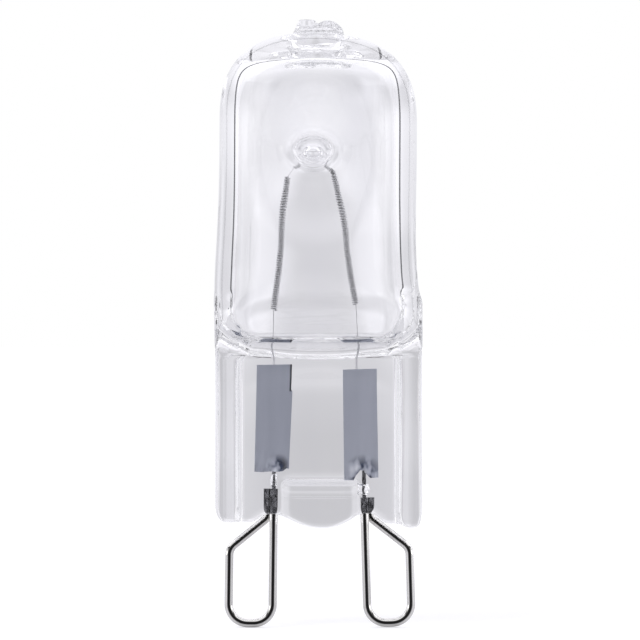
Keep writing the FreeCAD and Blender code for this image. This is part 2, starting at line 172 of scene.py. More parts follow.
# %% Inside of the bulb
CEILING_START = 27.4
CEILING_RISE = 4.1
CEILING_SQUARENESS = 4.2
TROUGH_FLOOR = 12.65
TROUGH_BLEND = 0.5
TROUGH_HEIGHTS = (12.55, 12.7, 12.9, 13.2, 13.6, 14.1, 15.0, 16.0, 17.0, 18.0, 20.0)
TROUGH_DEPTHS = (1.5, 2.3, 2.9, 3.4, 3.8, 4.2, 4.91, 5.42, 5.71, 5.8, 5.9)
INNER_HEIGHTS = (12.4, 12.7, 13.2, 14.0, 15.0, 17.5, 21.0, 27.0)
INNER_LEFT = (-4.9, -5.25, -5.55, -5.75, -5.8, -5.72, -5.58, -5.5)
INNER_RIGHT = (4.8, 5.1, 5.35, 5.5, 5.52, 5.4, 5.3, 5.28)


def inner_level(x, y, z):
    above = np.maximum(z - CEILING_START, 0.0) / CEILING_RISE
    return tube_level(x, y, z, INNER_HEIGHTS, INNER_LEFT, INNER_RIGHT, above, CEILING_SQUARENESS)


def inner_jaws(x, y, z):
    return jaws(x, y, curve_through(z, TROUGH_HEIGHTS, TROUGH_DEPTHS))


def gas_space(x, y, z):
    room = in_millimetres(inner_level, x, y, z)
    pressed = shared(room, in_millimetres(inner_jaws, x, y, z), JAW_BLEND)
    return shared(pressed, TROUGH_FLOOR - z, TROUGH_BLEND)


print("wall of the bulb:", round(to_outside + gas_space(*BULB_MIDDLE), 2), "mm")

# %% [markdown]
# ## Dimples, tip and pump hole
#
# Two dimples were pushed in from front and back until they nearly touched the filament's bridge. The
# flame sank the wall round each in a shallow saucer, and the tool drew a blunt cone out of its middle.
# The tip is where the pump tube was melted off: a flat stump on the left, a round bead on the right,
# and under them the closed end of the tube's bore, with an uneven rim that ran down round its mouth.
# Balls, cones and a ring are enough for these, because the blends do the melting.

# %% Dimples, tip and pump hole
DIMPLE_X = -0.4
DIMPLE_Z = 25.15
DIMPLE_SQUEEZE = 1.25
DIMPLE_NOSE = 0.7
DIMPLE_MOUTH = 2.1
DIMPLE_END = 0.56
DIMPLE_WALL = 0.48
DIMPLE_ROUNDING = 1.3
SAUCER_RADIUS = 6.0
SAUCER_WALL = 1.3
SAUCER_CENTRE = 11.15
BULB_FACE = 6.75
COLLAR = dict(middle=-0.1, low_radius=1.62, high_radius=1.6, low=31.9, high=33.5, rounding=0.4)
STUMP = dict(middle=-0.82, low_radius=0.95, high_radius=0.58, low=33.2, high=34.2, rounding=0.2)
BORE = dict(middle=-0.2, low_radius=1.6, high_radius=1.52, low=31.0, high=32.85, rounding=0.6)
BORE_MOUTH = 30.8
BEAD_X = 0.6
BEAD_Z = 33.08
BEAD_RADIUS = 1.08
BEAD_BLEND = 0.5
STUMP_BLEND = 0.2
DRIP_X = -0.15
DRIP_Z = 31.25
DRIP_RADIUS = 1.75
DRIP_THICK = 0.42
DRIP_WAVES = ((0.4, 3.0, 0.6), (0.25, 7.0, 2.0))


def ball(across, deep, up, radius):
    return np.sqrt(across**2 + deep**2 + up**2) - radius


def saucer(x, y, z):
    """Ball that sinks the wall round each dimple."""
    return ball(x - DIMPLE_X, np.abs(y) - SAUCER_CENTRE, z - DIMPLE_Z, SAUCER_RADIUS)


def nose(x, y, z):
    """Blunt cone of each dimple."""
    deep = np.abs(y)
    away = np.hypot(x - DIMPLE_X, (z - DIMPLE_Z) * DIMPLE_SQUEEZE)
    widening = (DIMPLE_MOUTH - DIMPLE_NOSE) / (BULB_FACE - DIMPLE_END)
    side = away - (DIMPLE_NOSE + (deep - DIMPLE_END) * widening)
    return shared(side, DIMPLE_END - deep, DIMPLE_ROUNDING)


def upright(x, y, z, middle, low_radius, high_radius, low, high, rounding):
    """Round post that narrows from low to high and is rounded at its top."""
    radius = low_radius + (z - low) / (high - low) * (high_radius - low_radius)
    side = np.hypot(x - middle, y) - radius
    return shared(side, z - high, rounding)


def tip(x, y, z):
    collar = upright(x, y, z, **COLLAR)
    stump = upright(x, y, z, **STUMP)
    bead = ball(x - BEAD_X, y, z - BEAD_Z, BEAD_RADIUS)
    melted = join(join(collar, bead, BEAD_BLEND), stump, STUMP_BLEND)
    return np.maximum(melted, COLLAR["low"] - z)


def pump_hole(x, y, z):
    return np.maximum(upright(x, y, z, **BORE), BORE_MOUTH - z)


def drip_ring(x, y, z):
    """Uneven rim of melted glass that hangs round the mouth of the bore."""
    angle = np.arctan2(y, x - DRIP_X)
    share = 1.0
    for size, waves, start in DRIP_WAVES:
        share = share + size * np.sin(waves * angle + start)
    away = np.hypot(x - DRIP_X, y) - DRIP_RADIUS
    return np.hypot(away, z - DRIP_Z) - DRIP_THICK * share


print("each dimple narrows to", 2 * DIMPLE_NOSE, "mm")

# %% [markdown]
# ## Pressed foot
#
# Jaws pressed the hot tube flat around the foils. They left a web, a thicker rail on each side, a step
# across the lower web, and a lower edge that was pushed out into a tongue between the two pins. Web and
# rails are drawn as upright bars, and the wavy lower edge and the top are cut from both together.

# %% Foot
FOOT_MIDDLE = -0.02
FOOT_HALF_WIDTH = 7.0
FOOT_TOP = 15.4
FOOT_TOP_BLEND = 1.0
LOWER_EDGE_BLEND = 0.7
WEB_HALF = 1.5
WEB_BLEND = 0.8
STEP_MIDDLE = 0.1
STEP_HALF_WIDTH = 2.35
STEP_CRISPNESS = 9.0
STEP_HEIGHTS = (-0.5, 1.3, 1.5, 1.6, 1.7, 1.9, 2.5, 2.62, 2.75, 3.2, 3.4, 3.5, 3.6)
STEP_DEPTHS = (0.24, 0.24, 0.24, 0.21, 0.24, 0.25, 0.25, 0.14, 0.01, 0.0, 0.02, 0.02, 0.0)
RAIL_INNER = 5.4
RAIL_CORNER = 0.65
RAIL_CORNER_SHARE = 0.8
RAIL_BLEND = 0.35
RAIL_HEIGHTS = (0.0, 1.5, 10.6, 12.0, 14.8, 15.6)
RAIL_DEPTHS = (2.6, 2.65, 2.65, 2.35, 1.2, 0.8)
RAIL_SIDE_HEIGHTS = (10.0, 11.5, 13.0, 14.2, 15.6)
RAIL_SIDES = (7.0, 6.98, 6.8, 6.55, 6.2)
RIPPLE_DEPTH = 0.008
RIPPLE_ACROSS = 8.0
RIPPLE_SWAY = 0.25
RIPPLE_UP = 0.6
LOWER_EDGE = (
    (-7.1, 0.6), (-6.7, 0.1), (-6.2, -0.02), (-5.4, -0.03), (-4.5, -0.03), (-3.7, 0.42),
    (-3.2, 0.5), (-2.8, 0.44), (-2.0, 0.14), (-1.1, -0.24), (-0.1, -0.44), (0.95, -0.38),
    (2.0, 0.03), (2.65, 0.42), (3.1, 0.52), (3.65, 0.5), (4.05, 0.2), (4.4, -0.06),
    (5.3, -0.16), (6.5, -0.36), (6.8, -0.25), (7.1, 0.5),
)


def web(x, y, z):
    """Flat middle of the foot, with a step across its lower part between the pins."""
    between_pins = 1 / (1 + np.exp((np.abs(x - STEP_MIDDLE) - STEP_HALF_WIDTH) * STEP_CRISPNESS))
    half = WEB_HALF + curve_through(z, STEP_HEIGHTS, STEP_DEPTHS) * between_pins
    return shared(np.abs(y) - half, np.abs(x - FOOT_MIDDLE) - FOOT_HALF_WIDTH, WEB_BLEND)


def rails(x, y, z):
    """Rounded bar on each side, which thins out where it runs up the bulb."""
    half = curve_through(z, RAIL_HEIGHTS, RAIL_DEPTHS)
    side = curve_through(z, RAIL_SIDE_HEIGHTS, RAIL_SIDES)
    middle = (RAIL_INNER + side) / 2
    reach = (side - RAIL_INNER) / 2
    corner = np.minimum(RAIL_CORNER, half * RAIL_CORNER_SHARE)
    corner = np.minimum(corner, reach * RAIL_CORNER_SHARE)
    over = np.abs(np.abs(x - FOOT_MIDDLE) - middle) - (reach - corner)
    out = np.abs(y) - (half - corner)
    apart = np.hypot(np.maximum(over, 0), np.maximum(out, 0))
    bar = apart + np.minimum(np.maximum(over, out), 0) - corner
    return bar + RIPPLE_DEPTH * np.sin(RIPPLE_ACROSS * x + RIPPLE_SWAY * np.sin(RIPPLE_UP * z))


def foot(x, y, z):
    plan = join(rails(x, y, z), web(x, y, z), RAIL_BLEND)
    lower = curve_through(x, *zip(*LOWER_EDGE)) - z
    return shared(shared(plan, lower, LOWER_EDGE_BLEND), z - FOOT_TOP, FOOT_TOP_BLEND)


WEB_MIDDLE = (0.0, 0.0, 6.0)
print("thickness of the web:", round(-2 * foot(*WEB_MIDDLE), 2), "mm")


# %% [markdown]
# ## Pockets round the pins
#
# Quartz doesn't wet the thick pin wire. At the lower edge it drew back on cooling and left a short,
# uneven mouth round both ends of each pin, and higher up one small void beside each. Everywhere else
# the glass touches the wire, so the pins are simply set in it. A wobble in the field roughens the rooms.

# %% Pockets
PIN_X = 3.07
MOUTH_END_X = 3.5
MOUTH_END_Y = 0.42
MOUTH_RADIUS = 0.42
MOUTH_LOW = -0.6
MOUTH_BLEND = 0.3
LEFT_MOUTH_TOP = 0.78
RIGHT_MOUTH_TOP = 0.72
LEFT_VOID = dict(x0=-PIN_X, y0=0.0, radius=0.24, low=2.35, high=3.2)
RIGHT_VOID = dict(x0=2.95, y0=-0.1, radius=0.48, low=1.78, high=2.5)
ROD_BLEND = 0.25
WOBBLE = 0.05


def rod(x, y, z, x0, y0, radius, low, high):
    ends = np.abs(z - (low + high) / 2) - (high - low) / 2
    return shared(np.hypot(x - x0, y - y0) - radius, ends, ROD_BLEND)


def mouth(x, y, z, side, top):
    """Room round both ends of one pin at the lower edge of the glass."""
    inner = rod(x, y, z, side * PIN_X, 0.0, MOUTH_RADIUS, MOUTH_LOW, top)
    outer = rod(x, y, z, side * MOUTH_END_X, MOUTH_END_Y, MOUTH_RADIUS, MOUTH_LOW, top)
    return join(inner, outer, MOUTH_BLEND)


def pockets(x, y, z):
    wobble = WOBBLE * np.sin(9.0 * z + 4.0 * x) * np.cos(7.0 * y + 2.0 * z)
    left = np.minimum(mouth(x, y, z, -1, LEFT_MOUTH_TOP), rod(x, y, z, **LEFT_VOID))
    right = np.minimum(mouth(x, y, z, 1, RIGHT_MOUTH_TOP), rod(x, y, z, **RIGHT_VOID))
    return np.minimum(left, right) + wobble


print("room round the left pin:", round(-pockets(-PIN_X, 0.0, 0.0), 2), "mm from its axis")

# %% [markdown]
# ## The whole glass
#
# The outside is put together first, then the room inside, and the glass is what lies between. Each join
# has a blend of its own: wide where a flame melted the wall, tight at the bore and at the pin pockets.
# Over the web the foot runs into the bulb with a wide fillet, which narrows towards the rails.

# %% The whole glass
SAUCER_BLEND = 2.2
NOSE_BLEND = 1.6
TIP_BLEND = 0.2
DRIP_BLEND = 0.3
BORE_BLEND = 0.15
POCKET_BLEND = 0.15
FOOT_BLEND = 0.7
FOOT_BLEND_MORE = 2.1
FILLET_EDGE = 6.9
FILLET_FADE = 1.5


def glass(x, y, z):
    outside = cut_away(bulb_outside(x, y, z), saucer(x, y, z), SAUCER_BLEND)
    outside = cut_away(outside, nose(x, y, z), NOSE_BLEND)
    outside = join(outside, tip(x, y, z), TIP_BLEND)
    over_web = np.clip((FILLET_EDGE - np.abs(x)) / FILLET_FADE, 0.0, 1.0)
    outside = join(outside, foot(x, y, z), FOOT_BLEND + FOOT_BLEND_MORE * over_web)
    inside = cut_away(gas_space(x, y, z), saucer(x, y, z) - SAUCER_WALL, SAUCER_BLEND)
    inside = cut_away(inside, nose(x, y, z) - DIMPLE_WALL, NOSE_BLEND)
    inside = cut_away(inside, drip_ring(x, y, z), DRIP_BLEND)
    inside = join(inside, pump_hole(x, y, z), BORE_BLEND)
    solid = np.maximum(outside, -inside)
    return cut_away(solid, pockets(x, y, z), POCKET_BLEND)


print("the middle of the web lies", round(-glass(*WEB_MIDDLE), 2), "mm inside the glass")

# %% [markdown]
# ## From the field to a mesh
#
# The field is sampled on a regular grid and turned to quads. The grid leaves small steps, which glass
# would show as ripples, so each vertex is then moved along the field's slope until the field is zero
# there, and takes its normal from the same slope.

# %% Mesh of the glass
STEP = 0.185
GLASS_LOW = (-7.7, -7.6, -1.1)
GLASS_HIGH = (7.6, 7.6, 34.8)
FIELD_LIMIT = 1.0
PASSES = 3
LEAST_STEEPNESS = 0.2


def slope_of(field, points):
    nudge = 0.004
    columns = []
    for axis in np.eye(3):
        ahead = field(*(points + axis * nudge).T)
        behind = field(*(points - axis * nudge).T)
        columns.append((ahead - behind) / (2 * nudge))
    return np.stack(columns, axis=1)


def add_object(name, data):
    """New object in the scene around a mesh, curve, light or camera."""
    thing = bpy.data.objects.new(name, data)
    bpy.context.collection.objects.link(thing)
    return thing


def mesh_of_field(name, field, low, high, step):
    axes = [np.arange(a, b + step, step) for a, b in zip(low, high)]
    values = field(*np.meshgrid(*axes, indexing="ij"))
    grid = openvdb.FloatGrid(FIELD_LIMIT)
    grid.copyFromArray(np.clip(values, -FIELD_LIMIT, FIELD_LIMIT).astype(np.float32))
    points, quads = grid.convertToQuads(0.0)
    points = points.astype(float) * step + np.asarray(low)
    for _ in range(PASSES):
        slope = slope_of(field, points)
        steepness = np.maximum((slope**2).sum(axis=1), LEAST_STEEPNESS)
        move = -field(*points.T)[:, None] * slope / steepness[:, None]
        points += np.clip(move, -step / 4, step / 4)
    mesh = bpy.data.meshes.new(name)
    mesh.from_pydata((points * MM).tolist(), [], quads.tolist())
    normals = slope_of(field, points)
    normals /= np.linalg.norm(normals, axis=1)[:, None]
    mesh.shade_smooth()
    mesh.normals_split_custom_set_from_vertices(normals.tolist())
    print(name, "vertices", len(points), "quads", len(quads))
    return add_object(name, mesh)


envelope = mesh_of_field("glass_envelope", glass, GLASS_LOW, GLASS_HIGH, STEP)
corners = np.array([v.co for v in envelope.data.vertices]) / MM
print("glass from", corners.min(axis=0).round(2), "to", corners.max(axis=0).round(2), "mm")


# %% [markdown]
# ## Helpers for materials
#
# Every finish is a shader fed by a few nodes: a noise gives variety, a ramp turns it to colours and a
# spread to a range of values. Painted images could do it too, but nodes stay sharp at any distance.
# The scale of a noise counts per metre.

# %% Helpers for materials
MIX_FIRST = 6
MIX_SECOND = 7
MIX_RESULT = 2


def new_material(name):
    material = bpy.data.materials.new(name)
    material.use_nodes = True
    tree = material.node_tree
    return material, tree, tree.nodes["Principled BSDF"]


def feed(tree, given, socket):
    """Links a socket to the input, or sets the input where a plain value is given."""
    if isinstance(given, bpy.types.NodeSocket):
        tree.links.new(given, socket)
    else:
        socket.default_value = given


def dress(tree, shader, inputs):
    """Feeds the named inputs of a shader."""
    for label, given in inputs.items():
        feed(tree, given, shader.inputs[label])


def stretched_noise(tree, scale, stretch, detail):
    place = tree.nodes.new("ShaderNodeTexCoord")
    mapping = tree.nodes.new("ShaderNodeMapping")
    mapping.inputs["Scale"].default_value = stretch
    tree.links.new(place.outputs["Object"], mapping.inputs["Vector"])
    noise = tree.nodes.new("ShaderNodeTexNoise")
    noise.inputs["Scale"].default_value = scale
    noise.inputs["Detail"].default_value = detail
    tree.links.new(mapping.outputs["Vector"], noise.inputs["Vector"])
    return noise.outputs["Fac"]


def coordinates(tree, kind):
    """X, Y and Z of one kind of texture coordinate."""
    place = tree.nodes.new("ShaderNodeTexCoord")
    parts = tree.nodes.new("ShaderNodeSeparateXYZ")
    tree.links.new(place.outputs[kind], parts.inputs["Vector"])
    return parts.outputs


def ramp(tree, source, stops):
    """Colours at stops from 0 to 1; a single number stands for a grey."""
    node = tree.nodes.new("ShaderNodeValToRGB")
    elements = node.color_ramp.elements
    while len(elements) < len(stops):
        elements.new(0.5)
    for element, (position, colour) in zip(elements, stops):
        element.position = position
        element.color = (*np.broadcast_to(colour, 3), 1.0)
    tree.links.new(source, node.inputs["Fac"])
    return node.outputs["Color"]


def spread(tree, source, low, high, start=0.0, end=1.0):
    """Values from low to high while the source goes from start to end."""
    node = tree.nodes.new("ShaderNodeMapRange")
    node.inputs["From Min"].default_value = start
    node.inputs["From Max"].default_value = end
    node.inputs["To Min"].default_value = low
    node.inputs["To Max"].default_value = high
    tree.links.new(source, node.inputs["Value"])
    return node.outputs["Result"]


def mixed(tree, factor, first, second, blend_type="MIX"):
    node = tree.nodes.new("ShaderNodeMix")
    node.data_type = "RGBA"
    node.blend_type = blend_type
    feed(tree, factor, node.inputs["Factor"])
    feed(tree, first, node.inputs[MIX_FIRST])
    feed(tree, second, node.inputs[MIX_SECOND])
    return node.outputs[MIX_RESULT]


def worked_out(tree, operation, *given):
    node = tree.nodes.new("ShaderNodeMath")
    node.operation = operation
    for socket, value in zip(node.inputs, given):
        feed(tree, value, socket)
    return node.outputs[0]


def bump(tree, source, shader, strength, distance):
    node = tree.nodes.new("ShaderNodeBump")
    node.inputs["Strength"].default_value = strength
    node.inputs["Distance"].default_value = distance
    tree.links.new(source, node.inputs["Height"])
    tree.links.new(node.outputs["Normal"], shader.inputs["Normal"])


print("materials before the first finish:", len(bpy.data.materials))

# %% [markdown]
# ## Quartz
#
# Fused quartz is clear and bends light less than window glass. Drawn tube keeps faint lengthwise cords
# and the flame leaves it a little uneven. Cutting cords into the mesh would take far more faces, so a
# noise that is stretched lengthwise gives them as a very shallow bump.

# %% Quartz material
QUARTZ_BENDING = 1.458
CORD_DEPTH = 0.02
quartz, tree, shader = new_material("quartz")
cords = stretched_noise(tree, scale=400.0, stretch=(1.0, 1.0, 0.12), detail=2.0)
clearness = ramp(tree, cords, ((0.3, (0.97, 0.97, 0.98)), (0.7, 1.0)))
dress(tree, shader, {
    "Base Color": clearness,
    "Roughness": spread(tree, cords, 0.0, 0.02),
    "Transmission Weight": 1.0,
    "IOR": QUARTZ_BENDING,
})
bump(tree, cords, shader, strength=0.15, distance=CORD_DEPTH * MM)
envelope.data.materials.append(quartz)
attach(envelope, "root")
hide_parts("quartz_envelope")
print("quartz nodes:", len(tree.nodes))


# %% [markdown]
# ## Wire along a path
#
# Filament and pins are drawn wire. One Geometry Nodes group sweeps a round wire along a curve and, where
# it has turns to make, winds it round the curve as a coil. A screw modifier could wind a straight coil
# only, and these legs are bent.

# %% Geometry Nodes group for wire
WIRE_INPUTS = (
    ("Path", "Geometry"),
    ("Turns", "Float"),
    ("Points", "Int"),
    ("Coil Radius", "Float"),
    ("Wire Radius", "Float"),
    ("Sides", "Int"),
    ("Material", "Material"),
)


def wire_group():
    group = bpy.data.node_groups.new("wire along a path", "GeometryNodeTree")
    for label, kind in WIRE_INPUTS:
        group.interface.new_socket(label, in_out="INPUT", socket_type="NodeSocket" + kind)
    group.interface.new_socket("Wire", in_out="OUTPUT", socket_type="NodeSocketGeometry")
    add = group.nodes.new
    link = group.links.new
    given = add("NodeGroupInput")
    result = add("NodeGroupOutput")
    finer = add("GeometryNodeResampleCurve")
    link(given.outputs["Path"], finer.inputs["Curve"])
    link(given.outputs["Points"], finer.inputs["Count"])
    along = add("GeometryNodeSplineParameter")
    full_turns = worked_out(group, "MULTIPLY", given.outputs["Turns"], 2 * math.pi)
    angle = worked_out(group, "MULTIPLY", along.outputs["Factor"], full_turns)
    offset = add("ShaderNodeVectorRotate")
    offset.rotation_type = "AXIS_ANGLE"
    link(add("GeometryNodeInputNormal").outputs["Normal"], offset.inputs["Vector"])
    link(add("GeometryNodeInputTangent").outputs["Tangent"], offset.inputs["Axis"])
    link(angle, offset.inputs["Angle"])
    away = add("ShaderNodeVectorMath")
    away.operation = "SCALE"
    link(offset.outputs["Vector"], away.inputs[0])
    link(given.outputs["Coil Radius"], away.inputs["Scale"])
    wind = add("GeometryNodeSetPosition")
    link(finer.outputs["Curve"], wind.inputs["Geometry"])
    link(away.outputs["Vector"], wind.inputs["Offset"])
    ring = add("GeometryNodeCurvePrimitiveCircle")
    link(given.outputs["Sides"], ring.inputs["Resolution"])
    link(given.outputs["Wire Radius"], ring.inputs["Radius"])
    sweep = add("GeometryNodeCurveToMesh")
    sweep.inputs["Fill Caps"].default_value = True
    link(wind.outputs["Geometry"], sweep.inputs["Curve"])
    link(ring.outputs["Curve"], sweep.inputs["Profile Curve"])
    real = add("GeometryNodeRealizeInstances")
    link(sweep.outputs["Mesh"], real.inputs["Geometry"])
    finish = add("GeometryNodeSetMaterial")
    link(real.outputs["Geometry"], finish.inputs["Geometry"])
    link(given.outputs["Material"], finish.inputs["Material"])
    link(finish.outputs["Geometry"], result.inputs["Wire"])
    return group


WIRE = wire_group()
print("wire group nodes:", len(WIRE.nodes))


# %% [markdown]
# ## One wire through points
#
# A piece of wire is a curve through points with that group on it. Left on, the group would stay editable,
# but the runs of one real wire have to be one object, so each is turned to a mesh and then merged.

# %% One wire through points
def wire_piece(name, points, radius, material, count, sides=12, turns=0.0, coil_radius=0.0):
    """Mesh of a wire through points in millimetres, straight or wound."""
    curve = bpy.data.curves.new(name + "_path", "CURVE")
    curve.dimensions = "3D"
    spline = curve.splines.new("POLY")
    spline.points.add(len(points) - 1)
    for place, point in zip(spline.points, points):
        place.co = (*(np.asarray(point) * MM), 1.0)
    path = add_object(name + "_path", curve)
    winding = path.modifiers.new("wire", "NODES")
    winding.node_group = WIRE
    values = {
        "Turns": float(turns),
        "Points": int(count),
        "Coil Radius": coil_radius * MM,
        "Wire Radius": radius * MM,
        "Sides": int(sides),
        "Material": material,
    }
    for item in WIRE.interface.items_tree:
        if item.item_type == "SOCKET" and item.name in values:
            winding[item.identifier] = values[item.name]
    bpy.context.view_layer.update()
    graph = bpy.context.evaluated_depsgraph_get()
    mesh = bpy.data.meshes.new_from_object(path.evaluated_get(graph))
    mesh.name = name
    bpy.data.objects.remove(path)
    mesh.shade_smooth()
    return add_object(name, mesh)


def merged(name, pieces):
    """One object from several, so that one real piece is one mesh."""
    bpy.ops.object.select_all(action="DESELECT")
    for piece in pieces:
        piece.select_set(True)
    bpy.context.view_layer.objects.active = pieces[0]
    bpy.ops.object.join()
    pieces[0].name = name
    return pieces[0]


print("wire sockets:", [item.name for item in WIRE.interface.items_tree])

# %% [markdown]
# ## Filament
#
# Tungsten wire about as fine as a hair is wound to a coil about half a millimetre thick. Two coiled legs
# hang between the tails below and a plain bridge that passes between the dimples. The legs sag a little,
# so they follow points rather than a straight line.

# %% Tungsten and filament
tungsten, tree, shader = new_material("tungsten")
grain = stretched_noise(tree, scale=6000.0, stretch=(1.0, 1.0, 1.0), detail=3.0)
grain_tone = ramp(tree, grain, ((0.3, (0.45, 0.45, 0.46)), (0.7, (0.72, 0.72, 0.74))))
dress(tree, shader, {
    "Base Color": grain_tone,
    "Roughness": spread(tree, grain, 0.35, 0.55),
    "Metallic": 1.0,
})

LEAD_Y = -0.07
LEFT_LEG = (
    (-3.02, LEAD_Y, 14.3), (-2.87, 0, 16.0), (-2.7, 0, 17.7), (-2.57, 0, 19.0),
    (-2.48, 0, 20.1), (-2.44, 0, 21.3), (-2.43, 0, 22.4), (-2.36, 0, 23.25),
)
RIGHT_LEG = (
    (2.48, LEAD_Y, 14.65), (2.14, 0, 16.6), (1.95, 0, 17.95), (1.76, 0, 19.6),
    (1.58, 0, 21.0), (1.4, 0, 22.4), (1.14, 0, 23.7), (1.05, 0, 24.55),
)
LEFT_TAIL = ((-3.05, LEAD_Y, 12.6), (-3.05, LEAD_Y, 13.3), LEFT_LEG[0])
RIGHT_TAIL = ((2.55, LEAD_Y, 12.6), (2.56, LEAD_Y, 13.3), RIGHT_LEG[0])
BRIDGE = (
    LEFT_LEG[-1], (-2.0, 0, 23.8), (-1.82, 0, 24.6), (-1.4, 0, 25.1),
    (-0.4, 0, 25.2), (0.5, 0, 25.15), (0.95, 0, 24.95), RIGHT_LEG[-1],
)
TAIL_RADIUS = 0.025
BRIDGE_RADIUS = 0.018
STRAND_RADIUS = 0.05
COIL_RADIUS = 0.19
LEFT_TURNS = 59
RIGHT_TURNS = 66
LEFT_COIL_POINTS = 1060
RIGHT_COIL_POINTS = 1150
LEG_POINTS = 60
TAIL_POINTS = 20
STRAND_SIDES = 6
FINE_SIDES = 8


def finer_path(points, count):
    points = np.asarray(points, dtype=float)
    steps = np.linalg.norm(np.diff(points, axis=0), axis=1)
    at = np.concatenate(([0.0], np.cumsum(steps)))
    where = np.linspace(0.0, at[-1], count)
    return np.stack([curve_through(where, at, points[:, k]) for k in range(3)], axis=1)


def coil(name, leg, points, turns):
    path = finer_path(leg, LEG_POINTS)
    return wire_piece(name, path, STRAND_RADIUS, tungsten, points, STRAND_SIDES, turns, COIL_RADIUS)


def plain_run(name, run, radius, points):
    return wire_piece(name, finer_path(run, points), radius, tungsten, points, FINE_SIDES)


runs = [
    coil("left_coil", LEFT_LEG, LEFT_COIL_POINTS, LEFT_TURNS),
    coil("right_coil", RIGHT_LEG, RIGHT_COIL_POINTS, RIGHT_TURNS),
    plain_run("left_tail", LEFT_TAIL, TAIL_RADIUS, TAIL_POINTS),
    plain_run("right_tail", RIGHT_TAIL, TAIL_RADIUS, TAIL_POINTS),
    plain_run("bridge", BRIDGE, BRIDGE_RADIUS, LEG_POINTS),
]
filament = merged("filament_coil", runs)
print("filament faces:", len(filament.data.polygons))
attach(filament, "root")
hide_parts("filament")

# %% [markdown]
# ## Pin wire
#
# Bright drawn wire with a dark scale on the part that was sealed in hot glass. A polished round wire
# mirrors the camera's dark side as a thin line down its middle. A dark wall there would darken the glass
# too, so that line is a painted reflection: the colour is darkened where the wire faces the eye.

# %% Pin wire
SCALE_START = 0.4
SCALE_FULL = 0.8
DRAWING_DEPTH = 0.02
nickel, tree, shader = new_material("pin wire")
drawn = stretched_noise(tree, scale=900.0, stretch=(1.0, 1.0, 0.15), detail=3.0)
polish = ramp(tree, drawn, ((0.3, (0.72, 0.71, 0.69)), (0.7, (0.9, 0.89, 0.87))))
facing = tree.nodes.new("ShaderNodeLayerWeight").outputs["Facing"]
# Painted reflection: the colour goes nearly black down the middle of the wire, where it faces the eye.
painted_reflection_line = ramp(tree, facing, ((0.035, 0.02), (0.12, 1.0)))
# The polished tone times that painted dark line.
bright = mixed(tree, 1.0, polish, painted_reflection_line, "MULTIPLY")
flakes = stretched_noise(tree, scale=5000.0, stretch=(1.0, 1.0, 0.5), detail=3.0)
scale = ramp(tree, flakes, ((0.4, (0.012, 0.012, 0.015)), (0.62, (0.16, 0.16, 0.17))))
height = coordinates(tree, "Object")["Z"]
sealed = spread(tree, height, 0.0, 1.0, SCALE_START * MM, SCALE_FULL * MM)
dress(tree, shader, {
    "Base Color": mixed(tree, sealed, bright, scale),
    "Roughness": spread(tree, drawn, 0.05, 0.14),
    "Metallic": 1.0,
})
bump(tree, drawn, shader, strength=0.2, distance=DRAWING_DEPTH * MM)
print("pin wire nodes:", len(tree.nodes))

# %% [markdown]
# ## Pins
#
# Each pin is wire bent round a former: down, round the foot of the loop and back up into the glass. The
# corners are arcs on the path, so the sweep keeps the wire round through each bend. A thinner stem goes
# on up from the seat to the foil.

# %% Pins
PIN_RADIUS = 0.285
PIN_POINTS = 260
PIN_SIDES = 20
PIN_OUTER_X = 6.07
PIN_FOOT = -7.015
PIN_KNEE = -1.95
PIN_END_SHIFT = 0.424
PIN_END_LOW = 0.2
PIN_BENDS = (1.3, 1.3, 0.9, 0.5)
BEND_PARTS = 12
STEM_RADIUS = 0.14
STEM_OVERLAP = 0.2
STEM_POINTS = 8


def bent_path(points, radii):
    """Points along straight runs with a round bend at each inner corner."""
    points = [np.asarray(p, dtype=float) for p in points]
    path = [points[0]]
    for before, corner, after, radius in zip(points, points[1:], points[2:], radii):
        back = (before - corner) / np.linalg.norm(before - corner)
        ahead = (after - corner) / np.linalg.norm(after - corner)
        half_turn = (math.pi - math.acos(float(back @ ahead))) / 2
        inward = (back + ahead) / np.linalg.norm(back + ahead)
        centre = corner + inward * radius / math.cos(half_turn)
        start = corner + back * radius * math.tan(half_turn) - centre
        side = np.cross(back, ahead)
        axis = side / np.linalg.norm(side)
        for k in range(BEND_PARTS + 1):
            turn = -2 * half_turn * k / BEND_PARTS
            path.append(centre + start * math.cos(turn) + np.cross(axis, start) * math.sin(turn))
    path.append(points[-1])
    return path


def pin(name, node, side, seat, lean, stem_top):
    """One pin; lean is how far the loop swings outwards about its seat, in degrees."""
    leg = side * PIN_X
    outer = side * PIN_OUTER_X
    swing = math.radians(lean) * side

    def leaning(x, z):
        right, rise = x - leg, z - seat
        across = leg + right * math.cos(swing) - rise * math.sin(swing)
        return (across, 0.0, seat + right * math.sin(swing) + rise * math.cos(swing))

    loop = [leaning(leg, PIN_FOOT), leaning(outer, PIN_FOOT), leaning(outer, PIN_KNEE)]
    end_x = leg + side * PIN_END_SHIFT
    end = [(end_x, PIN_END_SHIFT, PIN_END_LOW), (end_x, PIN_END_SHIFT, seat)]
    thick = bent_path([(leg, 0.0, seat), *loop, *end], PIN_BENDS)
    stem = [(leg, 0, seat - STEM_OVERLAP), (leg, 0, stem_top)]
    pieces = [
        wire_piece(name, thick, PIN_RADIUS, nickel, PIN_POINTS, PIN_SIDES),
        wire_piece(name + "_tail", stem, STEM_RADIUS, nickel, STEM_POINTS),
    ]
    piece = merged(name, pieces)
    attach(piece, "root")
    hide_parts(node)
    return piece


left_pin = pin("left_pin", "left_pin_loop", side=-1, seat=2.2, lean=0.7, stem_top=4.4)
right_pin = pin("right_pin", "right_pin_loop", side=1, seat=1.6, lean=1.7, stem_top=4.1)
for piece in (left_pin, right_pin):
    print(piece.name, "faces", len(piece.data.polygons))
